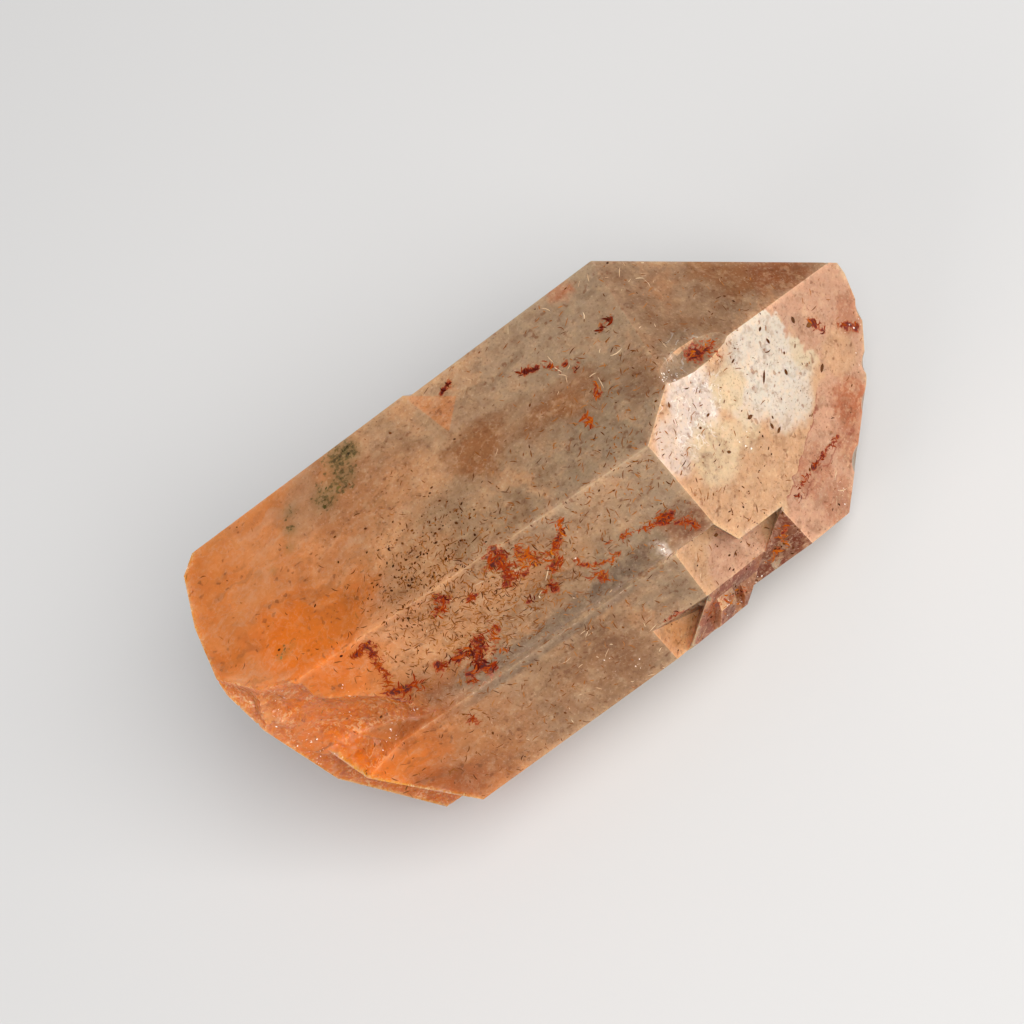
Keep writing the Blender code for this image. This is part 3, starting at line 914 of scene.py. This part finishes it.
glints.data.materials.append(flake_finish("glint_white", ((236, 216, 196), (250, 244, 238)), 0.2))


# The dark specks
# Grains of black-brown mineral: a peppered patch on the top, small dashes on the front tip
# face, and single grains elsewhere.


def speck_thickness(middles):
    """Thickest in the peppered patch of the top, thinner on the tip, and rare elsewhere."""
    patches = (
        (418, 556, 4.0, 12.0), (402, 590, 3.5, 9.0), (450, 545, 4.0, 8.0), (768, 400, 8, 0.8),
        (740, 520, 5, 1.6), (787, 546, 2, 12.0), (735, 600, 5, 4.0),
    )
    return thick_round(middles, 0.10, patches)


speck_places, speck_facing, strewn = scatter(1100, 41, speck_thickness)
count = len(speck_places)
speck_lengths = 0.13 + 0.34 * strewn.random(count) ** 2.2
specks = make_flakes(
    "dark_specks", speck_places, speck_facing, strewn.normal(0.0, 1.0, (count, 3)), speck_lengths,
    speck_lengths * strewn.uniform(0.35, 0.7, count), np.zeros(count),
    strewn.uniform(0.0, 1.0, count),
)
specks.data.materials.append(
    flake_finish("speck_black", ((54, 24, 6), (84, 42, 12), (116, 64, 22)), 0.75)
)

# Larger flecks on the front tip face: pixel, heading in the picture in degrees, length and width
TIP_FLECKS = (
    (760, 329, 60, 0.6, 0.34), (768, 341, -35, 0.8, 0.34), (793, 320, -50, 0.9, 0.5),
    (733, 361, 40, 0.7, 0.24), (764, 377, 85, 1.6, 0.34), (786, 372, -50, 0.8, 0.44),
    (822, 368, 70, 1.1, 0.5), (750, 417, 25, 0.9, 0.45), (772, 426, -40, 0.8, 0.4),
    (779, 430, 50, 0.9, 0.4), (729, 452, 0, 0.7, 0.34), (708, 415, 30, 0.6, 0.3),
    (743, 487, -20, 0.6, 0.16), (732, 511, -60, 0.9, 0.16), (757, 509, -75, 0.9, 0.16),
    (716, 535, 10, 0.7, 0.4), (669, 405, -70, 0.7, 0.3), (809, 325, 20, 1.0, 0.6),
    (795, 346, 80, 0.6, 0.2), (812, 415, 60, 0.5, 0.2),
)
fleck_rows = np.array(TIP_FLECKS)
met, fleck_places, fleck_facing = on_crystal(fleck_rows[:, :2])
fleck_turn = np.radians(fleck_rows[met, 2])
fleck_heading = (
    np.cos(fleck_turn)[:, None] * np.array(tuple(view_right))
    + np.sin(fleck_turn)[:, None] * np.array(tuple(view_up))
)
flecks = make_flakes(
    "tip_flecks", fleck_places, fleck_facing, fleck_heading, fleck_rows[met, 3], fleck_rows[met, 4],
    np.zeros(len(fleck_places)), np.linspace(0.0, 1.0, len(fleck_places)), proud=0.02, sunk=0.0,
)
flecks.data.materials.append(flake_finish("fleck_brown", ((80, 46, 24), (112, 68, 34)), 0.75))


# The moss
# Green-brown mineral that grew into the crystal in soft tufts near the root: a haze drawn on
# the crystal, and a few darker grains in it.

MOSS_TUFTS = (
    (340, 457, 1.7, 26, 0.25), (350, 452, 1.2, 16, 0.35), (344, 476, 1.3, 16, 0.4),
    (325, 497, 1.4, 20, 0.35), (334, 486, 1.0, 12, 0.5), (289, 512, 0.9, 6, 0.7),
    (291, 530, 0.8, 8, 0.6), (290, 548, 0.7, 6, 0.8), (286, 652, 0.6, 7, 0.85),
    (293, 645, 0.45, 4, 0.85), (273, 570, 0.5, 4, 0.9), (280, 657, 0.5, 4, 0.85),
)
rng = np.random.default_rng(17)
tuft_rows = np.array(MOSS_TUFTS)
met, tuft_places, tuft_facing = on_crystal(tuft_rows[:, :2])
mesh.attributes.new("moss", "FLOAT", "POINT").data.foreach_set(
    "value", nearness(tuft_places, tuft_rows[met, 2] * 1.8, 1.15 - 0.75 * tuft_rows[met, 4])
)
moss_spots = np.concatenate([
    np.array((x, y)) + rng.normal(0.0, 4.5, (count, 2)) * size
    for x, y, size, count, tone in MOSS_TUFTS
])
moss_tones = np.concatenate([
    np.clip(tone + rng.normal(0.0, 0.2, count), 0.0, 1.0)
    for x, y, size, count, tone in MOSS_TUFTS
])
met, moss_places, moss_facing = on_crystal(moss_spots)
count = len(moss_places)
moss_lengths = rng.uniform(0.15, 0.55, count)
moss = make_flakes(
    "green_moss", moss_places, moss_facing, rng.normal(0.0, 1.0, (count, 3)), moss_lengths,
    moss_lengths * rng.uniform(0.35, 0.75, count), moss_lengths * rng.uniform(-0.2, 0.2, count),
    moss_tones[met], sunk=0.3 * rng.random(count),
)
moss.data.materials.append(
    flake_finish("moss_green", ((54, 46, 18), (80, 70, 30), (112, 96, 50), (136, 114, 66)), 0.6)
)


# The floor and the light
# A plain pale floor, soft light from a large panel in front of the tip, and a weak one behind.

FLOOR_SIZE = 4.0
floor_mesh = bpy.data.meshes.new("floor")
half = FLOOR_SIZE / 2
floor_mesh.from_pydata(
    [(-half, -half, 0), (half, -half, 0), (half, half, 0), (-half, half, 0)], [], [(0, 1, 2, 3)]
)
floor = bpy.data.objects.new("floor", floor_mesh)
bpy.context.scene.collection.objects.link(floor)
paper = bpy.data.materials.new("pale_floor")
paper.use_nodes = True
paper_shader = paper.node_tree.nodes["Principled BSDF"]
paper_shader.inputs["Base Color"].default_value = (0.62, 0.62, 0.62, 1.0)
paper_shader.inputs["Roughness"].default_value = 0.7
floor_mesh.materials.append(paper)


def soft_panel(name, place, size, watts, colour):
    """A square light panel that faces the crystal."""
    lamp = bpy.data.lights.new(name, "AREA")
    lamp.shape = "SQUARE"
    lamp.size = size
    lamp.energy = watts
    lamp.color = colour
    panel = bpy.data.objects.new(name, lamp)
    bpy.context.scene.collection.objects.link(panel)
    place = Vector(place)
    turned = (place - Vector((0, 0, 0.02))).to_track_quat("Z", "Y").to_matrix().to_4x4()
    panel.matrix_world = Matrix.Translation(place) @ turned
    return panel


soft_panel("panel_front", (0.36, -0.44, 0.78), 0.8, 13.0, (1.0, 0.97, 0.94))
soft_panel("panel_left", (-0.75, -0.30, 0.45), 0.5, 1.8, (1.0, 0.97, 0.93))

surround = bpy.data.worlds.new("studio")
surround.use_nodes = True
surround.node_tree.nodes["Background"].inputs["Color"].default_value = (0.88, 0.92, 0.97, 1.0)
surround.node_tree.nodes["Background"].inputs["Strength"].default_value = 0.30
bpy.context.scene.world = surround
bpy.context.scene.view_settings.view_transform = "Standard"
